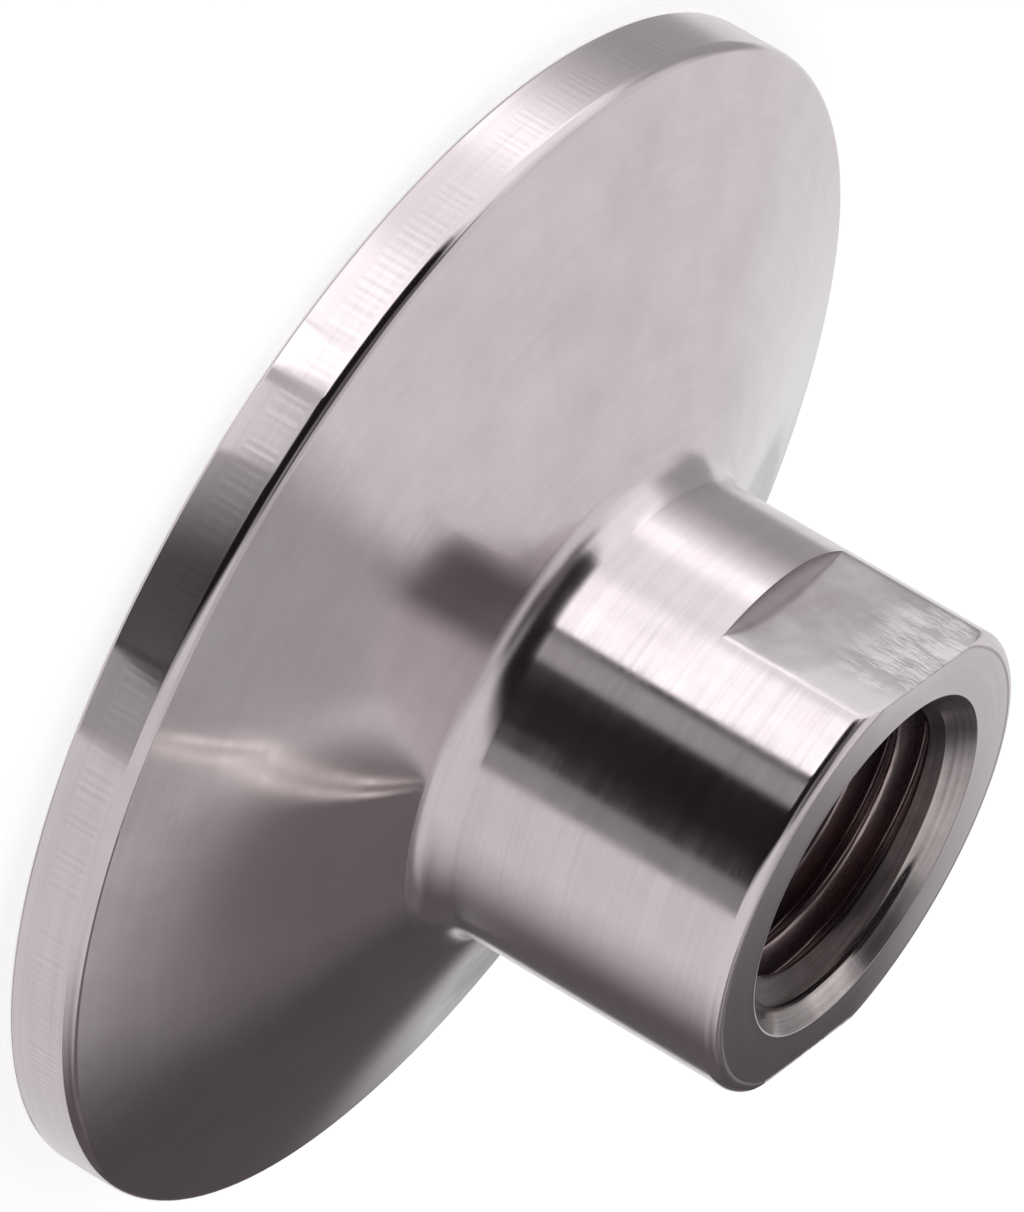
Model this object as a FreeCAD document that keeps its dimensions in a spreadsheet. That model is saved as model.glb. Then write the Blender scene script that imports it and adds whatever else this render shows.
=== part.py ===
"""A sanitary clamp adapter with a threaded socket, turned and milled in one piece from stainless bar.

A clamp flange with a gasket groove carries a boss. The boss has two wrench flats at its end, and it is
bored and countersunk for a pipe thread, with a through bore on to the clamp face.

The part stands on its clamp face: the origin is the centre of that face, and +Z runs up the boss.
The two wrench flats face -Y and +Y.
"""

import FreeCAD, Part
import math
import os
import Sketcher

NODE = "adapter_body"
TOLERANCE = 1e-4
FULL_TURN = 360

# Each driving dimension: its alias in the sheet, its value in millimetres or degrees, and what it sizes.
SIZES = (
    ("flange_diameter", 50.5, "outside of the clamp flange"),
    ("rim_width", 2.85, "straight rim of the flange, along the axis"),
    ("back_angle", 20.0, "slope of the flange's back, where the clamp bears"),
    ("face_edge", 0.15, "broken edge between rim and clamp face"),
    ("back_edge", 0.3, "broken edge between rim and back"),
    ("overall_length", 21.6, "clamp face to boss end"),
    ("boss_diameter", 20.0, "outside of the boss"),
    ("root_radius", 1.5, "fillet between back and boss"),
    ("end_edge", 0.3, "chamfer round the boss end"),
    ("flat_depth", 1.0, "how deep each wrench flat is cut into the boss"),
    ("flats_length", 6.6, "wrench flats, from the boss end"),
    ("socket_diameter", 11.4, "inside of the thread's crests"),
    ("socket_depth", 15.0, "full diameter of the socket, from the boss end"),
    ("drill_angle", 118.0, "drill point at the socket's floor"),
    ("mouth_diameter", 14.7, "countersink at the socket's mouth"),
    ("mouth_angle", 90.0, "included angle of that countersink"),
    ("through_diameter", 10.0, "through bore to the clamp face"),
    ("through_edge", 0.3, "broken edge of the through bore"),
    ("groove_inset", 3.45, "rim to the centre line of the gasket groove"),
    ("groove_radius", 2.4, "section radius of the gasket groove"),
    ("groove_depth", 1.6, "depth of the gasket groove"),
    ("groove_edge", 0.15, "broken lips of the gasket groove"),
)


def make_sheet(doc):
    """Writes the driving dimensions into a spreadsheet, one row each, with their aliases."""
    sheet = doc.addObject("Spreadsheet::Sheet", "sizes")
    for row, (alias, value, meaning) in enumerate(SIZES, start=1):
        sheet.set(f"A{row}", meaning)
        sheet.set(f"B{row}", str(value))
        sheet.setAlias(f"B{row}", alias)
    doc.recompute()
    return sheet


def origin_item(body, role):
    """Returns the body's own origin plane or axis with this role, such as XZ_Plane."""
    return next(item for item in body.Origin.OriginFeatures if item.Role == role)


def new_sketch(body, name, plane, height=None):
    """Adds a sketch on one of the body's origin planes, lifted off it by an expression if one is given."""
    sketch = body.newObject("Sketcher::SketchObject", name)
    sketch.AttachmentSupport = [(origin_item(body, plane), "")]
    sketch.MapMode = "FlatFace"
    if height:
        sketch.setExpression(".AttachmentOffset.Base.z", height)
    return sketch


def bind(sketch, name, constraint, expression):
    """Adds a named dimension to a sketch and binds it to an expression over the sheet."""
    index = sketch.addConstraint(constraint)
    sketch.renameConstraint(index, name)
    sketch.setExpression(f"Constraints.{name}", expression)


def draw_loop(sketch, corners):
    """Draws straight lines round a closed loop of (x, y) corners and joins their ends."""
    points = [FreeCAD.Vector(x, y, 0) for x, y in corners]
    lines = [
        sketch.addGeometry(Part.LineSegment(start, end), False)
        for start, end in zip(points, points[1:] + points[:1])
    ]
    for line, following in zip(lines, lines[1:] + lines[:1]):
        sketch.addConstraint(Sketcher.Constraint("Coincident", line, 2, following, 1))
    return lines


def draw_circle(sketch, x, y, radius):
    """Draws a circle about (x, y) and returns its number."""
    circle = Part.Circle(FreeCAD.Vector(x, y, 0), FreeCAD.Vector(0, 0, 1), radius)
    return sketch.addGeometry(circle, False)


def ring_edges(feature, radius, height):
    """Names the feature's round edges of this radius whose centre is on the axis at this height."""
    names = []
    for number, edge in enumerate(feature.Shape.Edges, start=1):
        curve = edge.Curve
        if not isinstance(curve, Part.Circle):
            continue
        at_height = abs(curve.Center.z - height) < TOLERANCE
        if at_height and abs(curve.Radius - radius) < TOLERANCE:
            names.append(f"Edge{number}")
    if not names:
        raise ValueError(f"{feature.Name} has no round edge of radius {radius} at height {height}")
    return names


def dress(body, kind, name, rings, size, alias):
    """Fillets or chamfers round edges of the body's tip, each ring given as (radius, height)."""
    base = body.Tip
    names = [edge for radius, height in rings for edge in ring_edges(base, radius, height)]
    feature = body.newObject(kind, name)
    feature.Base = (base, names)
    feature.setExpression(size, f"sizes.{alias}")
    body.Document.recompute()
    return feature


def check_cut(before, feature):
    """Raises an error unless the feature took material away from the shape before it."""
    if feature.Shape.Volume >= before - TOLERANCE:
        raise ValueError(f"{feature.Name} cuts nothing")


def root_height(sizes):
    """Returns the height at which the sloped back meets the boss, before the fillet between them."""
    run = (sizes.flange_diameter - sizes.boss_diameter) / 2
    return sizes.rim_width + run * math.tan(math.radians(sizes.back_angle))


def turn_blank(body, sizes):
    """Revolves the flange, its sloped back and the boss about the axis, as one solid blank."""
    flange = sizes.flange_diameter / 2
    boss = sizes.boss_diameter / 2
    sketch = new_sketch(body, "blank_profile", "XZ_Plane")
    face, rim, back, wall, end, axis = draw_loop(
        sketch,
        (
            (0, 0),
            (flange, 0),
            (flange, sizes.rim_width),
            (boss, root_height(sizes)),
            (boss, sizes.overall_length),
            (0, sizes.overall_length),
        ),
    )
    sketch.addConstraint(Sketcher.Constraint("Coincident", face, 1, -1, 1))
    for line in (face, end):
        sketch.addConstraint(Sketcher.Constraint("Horizontal", line))
    for line in (rim, wall, axis):
        sketch.addConstraint(Sketcher.Constraint("Vertical", line))
    bind(sketch, "flange_radius", Sketcher.Constraint("DistanceX", face, 1, face, 2, flange),
         "sizes.flange_diameter / 2")
    bind(sketch, "rim_width", Sketcher.Constraint("DistanceY", rim, 1, rim, 2, sizes.rim_width),
         "sizes.rim_width")
    bind(sketch, "boss_radius", Sketcher.Constraint("DistanceX", end, 2, end, 1, boss),
         "sizes.boss_diameter / 2")
    bind(sketch, "overall_length", Sketcher.Constraint("DistanceY", axis, 2, axis, 1, sizes.overall_length),
         "sizes.overall_length")
    slope = math.pi - math.radians(sizes.back_angle)
    bind(sketch, "back_slope", Sketcher.Constraint("Angle", back, slope),
         "180 deg - sizes.back_angle * 1 deg")
    blank = body.newObject("PartDesign::Revolution", "blank")
    blank.Profile = sketch
    blank.ReferenceAxis = (origin_item(body, "Z_Axis"), [""])
    blank.Angle = FULL_TURN
    body.Document.recompute()
    return blank


def break_edges(body, sizes):
    """Rounds the boss's root and breaks the rim's two edges and the boss's end edge."""
    flange = sizes.flange_diameter / 2
    boss = sizes.boss_diameter / 2
    dress(body, "PartDesign::Fillet", "root", [(boss, root_height(sizes))], "Radius", "root_radius")
    dress(body, "PartDesign::Chamfer", "face_break", [(flange, 0)], "Size", "face_edge")
    dress(body, "PartDesign::Chamfer", "back_break", [(flange, sizes.rim_width)], "Size", "back_edge")
    dress(body, "PartDesign::Chamfer", "end_break", [(boss, sizes.overall_length)], "Size", "end_edge")


def cut_gasket_groove(body, sizes):
    """Turns the round-bottomed gasket groove into the clamp face and breaks its two lips."""
    before = body.Shape.Volume
    radius = sizes.flange_diameter / 2 - sizes.groove_inset
    drop = sizes.groove_radius - sizes.groove_depth
    sketch = new_sketch(body, "groove_profile", "XZ_Plane")
    circle = draw_circle(sketch, radius, -drop, sizes.groove_radius)
    bind(sketch, "centre_line", Sketcher.Constraint("DistanceX", -1, 1, circle, 3, radius),
         "sizes.flange_diameter / 2 - sizes.groove_inset")
    bind(sketch, "drop", Sketcher.Constraint("DistanceY", circle, 3, -1, 1, drop),
         "sizes.groove_radius - sizes.groove_depth")
    bind(sketch, "section", Sketcher.Constraint("Radius", circle, sizes.groove_radius),
         "sizes.groove_radius")
    groove = body.newObject("PartDesign::Groove", "gasket_groove")
    groove.Profile = sketch
    groove.ReferenceAxis = (origin_item(body, "Z_Axis"), [""])
    groove.Angle = FULL_TURN
    body.Document.recompute()
    check_cut(before, groove)
    half_width = math.sqrt(sizes.groove_radius**2 - drop**2)
    lips = [(radius - half_width, 0), (radius + half_width, 0)]
    dress(body, "PartDesign::Chamfer", "groove_lips", lips, "Size", "groove_edge")


def mill_flats(body, sizes):
    """Mills one wrench flat off the boss's end and mirrors it to the other side."""
    before = body.Shape.Volume
    side = sizes.boss_diameter
    flat = side / 2 - sizes.flat_depth
    sketch = new_sketch(body, "flat_profile", "XY_Plane", "sizes.overall_length")
    low, right, high, left = draw_loop(sketch, ((-side, flat), (side, flat), (side, side), (-side, side)))
    sketch.addConstraint(Sketcher.Constraint("Symmetric", low, 1, low, 2, -2))
    sketch.addConstraint(Sketcher.Constraint("Horizontal", high))
    for line in (left, right):
        sketch.addConstraint(Sketcher.Constraint("Vertical", line))
    bind(sketch, "cutter_width", Sketcher.Constraint("DistanceX", low, 1, low, 2, 2 * side),
         "2 * sizes.boss_diameter")
    bind(sketch, "half_across", Sketcher.Constraint("DistanceY", -1, 1, low, 1, flat),
         "sizes.boss_diameter / 2 - sizes.flat_depth")
    bind(sketch, "cutter_reach", Sketcher.Constraint("DistanceY", -1, 1, high, 1, side),
         "sizes.boss_diameter")
    flat_cut = body.newObject("PartDesign::Pocket", "wrench_flat")
    flat_cut.Profile = sketch
    flat_cut.Type = "Length"
    flat_cut.setExpression("Length", "sizes.flats_length")
    body.Document.recompute()
    check_cut(before, flat_cut)
    before = body.Shape.Volume
    pair = body.newObject("PartDesign::Mirrored", "wrench_flats")
    pair.Originals = [flat_cut]
    pair.MirrorPlane = (origin_item(body, "XZ_Plane"), [""])
    body.Tip = pair
    body.Document.recompute()
    check_cut(before, pair)


def bore_socket(body, sizes):
    """Drills and countersinks the threaded socket, then bores on through to the clamp face."""
    before = body.Shape.Volume
    through = sizes.through_diameter / 2
    sketch = new_sketch(body, "socket_centre", "XY_Plane", "sizes.overall_length")
    circle = draw_circle(sketch, 0, 0, sizes.socket_diameter / 2)
    sketch.addConstraint(Sketcher.Constraint("Coincident", circle, 3, -1, 1))
    bind(sketch, "socket", Sketcher.Constraint("Diameter", circle, sizes.socket_diameter),
         "sizes.socket_diameter")
    body.Document.recompute()
    socket = body.newObject("PartDesign::Hole", "socket")
    socket.Profile = sketch
    socket.DepthType = "Dimension"
    socket.DrillPoint = "Angled"
    socket.HoleCutType = "Countersink"
    socket.HoleCutCustomValues = True
    for size, alias in (
        ("Diameter", "socket_diameter"),
        ("Depth", "socket_depth"),
        ("DrillPointAngle", "drill_angle"),
        ("HoleCutDiameter", "mouth_diameter"),
        ("HoleCutCountersinkAngle", "mouth_angle"),
    ):
        socket.setExpression(size, f"sizes.{alias}")
    body.Document.recompute()
    check_cut(before, socket)

    before = body.Shape.Volume
    sketch = new_sketch(body, "through_profile", "XY_Plane", "sizes.overall_length")
    circle = draw_circle(sketch, 0, 0, through)
    sketch.addConstraint(Sketcher.Constraint("Coincident", circle, 3, -1, 1))
    bind(sketch, "through", Sketcher.Constraint("Diameter", circle, sizes.through_diameter),
         "sizes.through_diameter")
    bore = body.newObject("PartDesign::Pocket", "through_bore")
    bore.Profile = sketch
    bore.Type = "ThroughAll"
    body.Document.recompute()
    check_cut(before, bore)
    dress(body, "PartDesign::Chamfer", "through_break", [(through, 0)], "Size", "through_edge")


def check(doc, body):
    """Raises an error if any object failed or the body isn't one valid solid."""
    failed = [item.Name for item in doc.Objects if {"Invalid", "Error"} & set(item.State)]
    if failed:
        raise RuntimeError(f"failed objects: {failed}")
    shape = body.Shape
    if shape.isNull() or not shape.isValid() or len(shape.Solids) != 1:
        raise RuntimeError(f"{body.Label} is not one valid solid")


def main():
    """Builds the document and writes the body's solid to parts/."""
    doc = FreeCAD.newDocument("sanitary_clamp_adapter")
    sizes = make_sheet(doc)
    body = doc.addObject("PartDesign::Body", NODE)
    body.Label = NODE
    body.Placement = FreeCAD.Placement()
    turn_blank(body, sizes)
    break_edges(body, sizes)
    mill_flats(body, sizes)
    bore_socket(body, sizes)
    cut_gasket_groove(body, sizes)
    doc.recompute()
    check(doc, body)
    os.makedirs("parts", exist_ok=True)
    body.Shape.exportStep(os.path.join("parts", f"{body.Label}.step"))
    box = body.Shape.optimalBoundingBox(False)
    print(f"{body.Label}: {box.XLength:.2f} x {box.YLength:.2f} x {box.ZLength:.2f} mm,"
          f" {body.Shape.Volume / 1000:.2f} cm3")


main()
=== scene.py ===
"""A sanitary clamp adapter with a threaded socket, dressed as turned and milled stainless steel.

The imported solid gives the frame: the part stands on its clamp face at the origin, +Z runs up the boss
and the two wrench flats face -Y and +Y. Here the same form is built again as one fine closed surface,
with the pipe thread cut into its socket and the small rounds that edges have, and each turned or milled
surface gets its own steel. Sizes are in millimetres and angles in degrees until a mesh is made.
"""

import logging
import math
from dataclasses import dataclass, field
from enum import Enum
from typing import Any

import bpy
import numpy as np
from mathutils import Euler, Matrix, Vector


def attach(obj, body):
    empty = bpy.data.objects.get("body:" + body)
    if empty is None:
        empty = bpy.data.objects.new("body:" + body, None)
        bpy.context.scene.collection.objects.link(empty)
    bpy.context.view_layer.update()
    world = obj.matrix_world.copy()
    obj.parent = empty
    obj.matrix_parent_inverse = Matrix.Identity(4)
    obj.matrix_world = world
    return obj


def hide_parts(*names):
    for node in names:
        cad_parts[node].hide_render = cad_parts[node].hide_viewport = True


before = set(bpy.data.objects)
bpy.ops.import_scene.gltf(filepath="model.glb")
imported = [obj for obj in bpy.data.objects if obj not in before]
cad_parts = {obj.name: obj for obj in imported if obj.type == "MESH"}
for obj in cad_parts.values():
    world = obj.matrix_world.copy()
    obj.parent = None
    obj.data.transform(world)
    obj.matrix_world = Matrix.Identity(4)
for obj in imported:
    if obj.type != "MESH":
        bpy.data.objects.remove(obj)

MM = 0.001
NODE = "adapter_body"
MAP = "turning"
FULL_TURN = 2.0 * math.pi
QUARTER_TURN = FULL_TURN / 4.0

# Numbers of the Mix node's colour sockets, whose names are all alike.
FIRST_COLOUR, SECOND_COLOUR, MIXED_COLOUR = 6, 7, 2

# A noise pattern's value keeps mostly between these two, and one of little detail between the others.
NOISE_LOW, NOISE_HIGH = 0.3, 0.7
SMOOTH_LOW, SMOOTH_HIGH = 0.35, 0.65

# Scale, detail and roughness of the two noises that make a tool's marks, and the share of the first.
COARSE_MARKS, FINE_MARKS, COARSE_SHARE = (0.5, 2.0, 0.7), (1.9, 1.0, 0.5), 0.65

# Detail and roughness of the noise behind the film's patches, and of the one behind the flats' scuffs
# and their painted sheen.
FILM_NOISE, SCUFF_AND_SHEEN_NOISE = (4.0, 0.6), (4.0, 0.7)

# Scale and detail of the noises that shift the chatter marks and set the strength of each, and how
# far apart the two are read, so that they differ.
SHIFT_NOISE, STRENGTH_NOISE, NOISE_APART = (0.45, 2.0), (0.9, 0.0), 3.0

# Detail of the noise behind the patches of strong chatter, and of the one behind the flats' blotches.
PATCH_DETAIL, BLOTCH_DETAIL = 1.0, 2.0

# How much lighter a worn edge is, and how much smoother, as a share of the roughness.
WORN_LIGHT, WORN_POLISH = 0.1, 0.2

log = logging.getLogger("adapter")


class Surface(Enum):
    """The surfaces of the part that differ in finish, in the order of the mesh's material slots."""

    CLAMP_FACE = 0
    RIM = 1
    BACK = 2
    BOSS = 3
    SHOULDER = 4
    FLAT = 5
    END = 6
    MOUTH = 7
    LEAD_IN = 8
    THREAD = 9


@dataclass(frozen=True)
class Corner:
    """One corner of the part's half section.

    Attributes:
        radius: Distance from the axis.
        height: Height above the clamp face.
        surface: Surface of the run that leaves this corner.
        rounding: Radius of the small round on the corner, or 0 for none.
        steps: Number of equal steps in the run that leaves this corner.
        cut: Share of the wrench flats' cut that is taken here, from 0 to 1.
        open_end: Leaves out the guard behind the round.
        sharp: Keeps the shading on both sides of this corner apart.
    """

    radius: float
    height: float
    surface: Surface
    rounding: float = 0.0
    steps: int = 1
    cut: float = 0.0
    open_end: bool = False
    sharp: bool = False


@dataclass(frozen=True)
class Stations:
    """The half section as rows of points.

    Attributes:
        line: Each station's radius and height.
        surfaces: Surface number of the step that leaves each station.
        edges: Nearness of each station to a rounded edge, from 0 to 1.
        cuts: Share of the flats' cut at each station.
        sharps: Whether each station is a sharp edge.
    """

    line: np.ndarray
    surfaces: np.ndarray
    edges: np.ndarray
    cuts: np.ndarray
    sharps: np.ndarray

    def lengths(self) -> np.ndarray:
        """Gives the length along the closed line at each station, with its whole length at the end."""
        steps = np.linalg.norm(np.roll(self.line, -1, axis=0) - self.line, axis=1)
        return np.concatenate([[0.0], np.cumsum(steps)])

    def start(self, surface: Surface) -> float:
        """Gives the length along the line at which a surface starts."""
        return float(self.lengths()[np.flatnonzero(self.surfaces == surface.value)[0]])


@dataclass
class Section:
    """The part's half section as a closed line of stations, from the bore's lower edge round and back.

    Attributes:
        corners: Corners in order, with the material to the left of the line.
        round_steps: Steps in each small round.
        guard: Length of the short step kept on both sides of a round, which keeps its shading to itself.
        widest_edge: Largest round that counts as a worn edge.
    """

    corners: list[Corner]
    round_steps: int = 4
    guard: float = 0.03
    widest_edge: float = 0.45

    def _round(self, before: np.ndarray, corner: Corner, after: np.ndarray) -> np.ndarray:
        """Replaces a corner by an arc that touches both runs.

        The arc's centre lies on the bisector at rounding / sin(half the corner's angle), and the arc
        leaves the runs at rounding / tan(that half) from the corner. One more point stands a guard's
        length outside each end.

        Args:
            before: The corner before this one, as (radius, height).
            corner: The corner to round.
            after: The corner after this one, as (radius, height).

        Returns:
            The points that stand for the corner, one row each.
        """
        point = np.array([corner.radius, corner.height])
        if corner.rounding == 0.0:
            return point[None, :]
        back = (before - point) / np.linalg.norm(before - point)
        on = (after - point) / np.linalg.norm(after - point)
        half = math.acos(float(np.clip(back @ on, -1.0, 1.0))) / 2.0
        reach = corner.rounding / math.tan(half)
        bisector = (back + on) / np.linalg.norm(back + on)
        centre = point + bisector * corner.rounding / math.sin(half)
        start = np.arctan2(*(point + back * reach - centre)[::-1])
        end = np.arctan2(*(point + on * reach - centre)[::-1])
        sweep = (end - start + math.pi) % FULL_TURN - math.pi
        turn = start + sweep * np.linspace(0.0, 1.0, self.round_steps + 1)
        arc = centre + corner.rounding * np.stack([np.cos(turn), np.sin(turn)], axis=1)
        guards = point + back * (reach + self.guard), point + on * (reach + self.guard)
        return np.vstack([guards[0], arc] if corner.open_end else [guards[0], arc, guards[1]])

    def stations(self) -> Stations:
        """Works out every station of the closed line.

        Returns:
            The stations, in order.
        """
        plain = np.array([[c.radius, c.height] for c in self.corners])
        points, surfaces, edges, cuts, sharps = [], [], [], [], []
        ends = [
            self._round(plain[i - 1], corner, plain[(i + 1) % len(plain)])
            for i, corner in enumerate(self.corners)
        ]
        for corner, here, following in zip(self.corners, ends, ends[1:] + ends[:1]):
            share = np.linspace(0.0, 1.0, corner.steps + 1)[1:-1, None]
            run = here[-1] + (following[0] - here[-1]) * share
            points += [here, run]
            surfaces.append(np.full(len(here) + len(run), corner.surface.value))
            worn = 0.0 < corner.rounding <= self.widest_edge
            edges += [np.full(len(here), float(worn)), np.zeros(len(run))]
            cuts.append(np.full(len(here) + len(run), corner.cut))
            sharps += [np.full(len(here) - 1, False), [corner.sharp], np.full(len(run), False)]
        rows = (surfaces, edges, cuts, sharps)
        return Stations(np.vstack(points), *(np.concatenate(row) for row in rows))


@dataclass(frozen=True)
class PipeThread:
    """A right-handed taper pipe thread cut into the socket, with its crests cut back to a plain bore.

    Attributes:
        pitch: Rise of one turn.
        lead: Depth of the crest that lies on the +X side.
        crest_radius: Radius of the bore that the crests are cut back to.
        root_radius: Radius at the bottom of the groove, at the mouth.
        taper: Fall of the root's radius for each millimetre of depth.
        flank_rise: Change of radius along a flank for each millimetre of height.
        softness: Rounding at the bottom of the groove.
        full_depth: Depth at which the groove starts to run out.
        run_out: Length over which it does.
    """

    pitch: float = 1.411
    lead: float = 0.55
    crest_radius: float = 5.7
    root_radius: float = 6.8
    taper: float = 1.0 / 32.0
    flank_rise: float = 1.732
    softness: float = 0.05
    full_depth: float = 11.6
    run_out: float = 1.6

    def radius(self, turn: np.ndarray, depth: np.ndarray) -> np.ndarray:
        """Gives the radius of the threaded wall.

        The groove's centre climbs one pitch a turn. Away from it the radius falls along the flank by the
        soft distance sqrt(distance squared + softness squared), until it reaches the crest.

        Args:
            turn: Angle round the axis, in radians.
            depth: Distance below the boss's end.

        Returns:
            The wall's radius at each point.
        """
        phase = ((self.lead - depth) / self.pitch - turn / FULL_TURN) % 1.0 - 0.5
        distance = np.sqrt((phase * self.pitch) ** 2 + self.softness**2) - self.softness
        left = np.clip((self.full_depth + self.run_out - depth) / self.run_out, 0.0, 1.0)
        root = self.crest_radius + (self.root_radius - self.taper * depth - self.crest_radius) * left
        return np.maximum(root - self.flank_rise * distance, self.crest_radius)


@dataclass(frozen=True)
class WrenchFlats:
    """Two parallel flats milled off the boss's end.

    Attributes:
        half_across: Distance from the axis to each flat.
        shoulder: Height at which the flats start.
        step: Rise of the shoulder from one of its rows to the next, which keeps them apart.
        edge: Size of the soft edge between flat and round.
        least_cosine: Cosine of the angle past which the flat is out of reach.
    """

    half_across: float = 9.0
    shoulder: float = 15.0
    step: float = 0.005
    edge: float = 0.12
    least_cosine: float = 0.2

    def half_angle(self, radius: np.ndarray) -> np.ndarray:
        """Gives half the angle that a flat takes up on a round: arccos(half_across / radius)."""
        return np.arccos(np.clip(self.half_across / radius, -1.0, 1.0))

    def cut(self, radius: np.ndarray, off_normal: np.ndarray) -> np.ndarray:
        """Cuts a round down to the flats.

        The flat's distance at an angle is half_across / cos(angle). The result is the smaller of that
        and the round, less edge / 4 where they meet, fading to nothing over the edge's size.

        Args:
            radius: Radius of the round.
            off_normal: Angle from the nearer flat's middle, in radians.

        Returns:
            The radius that is left.
        """
        flat = self.half_across / np.maximum(np.cos(off_normal), self.least_cosine)
        near = np.maximum(self.edge - np.abs(flat - radius), 0.0) / self.edge
        return np.minimum(flat, radius) - near**2 * self.edge / 4.0


class NodeBench:
    """Adds nodes to one tree and joins them as it goes."""

    def __init__(self, tree: bpy.types.NodeTree) -> None:
        """Clears the tree and keeps it."""
        tree.nodes.clear()
        self.tree = tree

    def add(self, kind: str, inputs: dict[Any, Any] | None = None, **settings: Any) -> bpy.types.Node:
        """Adds one node.

        Args:
            kind: Blender's name of the node's type.
            inputs: Value or source socket for each input, by name or number.
            **settings: The node's own settings.

        Returns:
            The new node.
        """
        node = self.tree.nodes.new(kind)
        for name, value in settings.items():
            setattr(node, name, value)
        for name, value in (inputs or {}).items():
            if isinstance(value, bpy.types.NodeSocket):
                self.tree.links.new(value, node.inputs[name])
            else:
                node.inputs[name].default_value = value
        return node

    def split(self, vector: Any) -> Any:
        """Splits a vector into its three values."""
        return self.add("ShaderNodeSeparateXYZ", {0: vector}).outputs

    def turning(self) -> Any:
        """Gives the piece's map: length along the section, share of a turn, and nothing."""
        return self.split(self.add("ShaderNodeUVMap", uv_map=MAP).outputs[0])

    def math(self, operation: str, *values: Any) -> bpy.types.NodeSocket:
        """Adds a Math node over the values and returns its result."""
        return self.add("ShaderNodeMath", dict(enumerate(values)), operation=operation).outputs[0]

    def vector(self, x: Any, y: Any, z: Any) -> bpy.types.NodeSocket:
        """Joins three values into a vector."""
        return self.add("ShaderNodeCombineXYZ", {0: x, 1: y, 2: z}).outputs[0]

    def noise(self, vector: Any, scale: float, detail: float,
              rough: float = 0.5) -> bpy.types.NodeSocket:
        """Adds a noise pattern and returns its value, which stays near 0.5."""
        inputs = {"Vector": vector, "Scale": scale, "Detail": detail, "Roughness": rough}
        return self.add("ShaderNodeTexNoise", inputs).outputs[0]

    def span(self, value: Any, low: float, high: float, to_low: float, to_high: float,
             soft: bool = False) -> bpy.types.NodeSocket:
        """Maps a range of values to another, held at both ends.

        Args:
            value: Value to map.
            low: Start of its range.
            high: End of its range.
            to_low: Result at the start.
            to_high: Result at the end.
            soft: Eases the way between them.

        Returns:
            The mapped value.
        """
        inputs = {"Value": value, "From Min": low, "From Max": high, "To Min": to_low, "To Max": to_high}
        kind = "SMOOTHSTEP" if soft else "LINEAR"
        return self.add("ShaderNodeMapRange", inputs, interpolation_type=kind).outputs["Result"]

    def blend(self, share: Any, first: Any, second: Any) -> bpy.types.NodeSocket:
        """Mixes two colours by the share of the second."""
        inputs = {"Factor": share, FIRST_COLOUR: first, SECOND_COLOUR: second}
        return self.add("ShaderNodeMix", inputs, data_type="RGBA").outputs[MIXED_COLOUR]

    def finish(self, shader: bpy.types.Node, kind: str = "ShaderNodeOutputMaterial") -> None:
        """Joins the shader to the tree's output."""
        self.add(kind, {"Surface": shader.outputs[0]})


def new_material(name: str) -> tuple[bpy.types.Material, NodeBench]:
    """Adds a material.

    Args:
        name: Its name.

    Returns:
        The material, and the bench for its empty tree.
    """
    material = bpy.data.materials.new(name)
    material.use_nodes = True
    return material, NodeBench(material.node_tree)


@dataclass(frozen=True)
class Bow:
    """A slight bow of a turned surface, which only its shading shows.

    Attributes:
        start: Length along the section at which the surface starts.
        width: Width of the surface.
        first: Slope added at its start, as rise over run.
        last: Slope added at its end.
    """

    start: float = 0.0
    width: float = 1.0
    first: float = 0.0
    last: float = 0.0

    def height(self, bench: NodeBench, distance: Any) -> bpy.types.NodeSocket:
        """Works out the bow: first * s + (last - first) * s squared / (2 * width), s from the start.

        Args:
            bench: The tree to work in.
            distance: Length along the section, in millimetres.

        Returns:
            The height that the bow adds, in millimetres.
        """
        s = bench.math("SUBTRACT", distance, self.start)
        bend = (self.last - self.first) / (2.0 * self.width)
        curve = bench.math("MULTIPLY", bench.math("MULTIPLY", s, s), bend)
        return bench.math("ADD", bench.math("MULTIPLY", s, self.first), curve)


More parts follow.
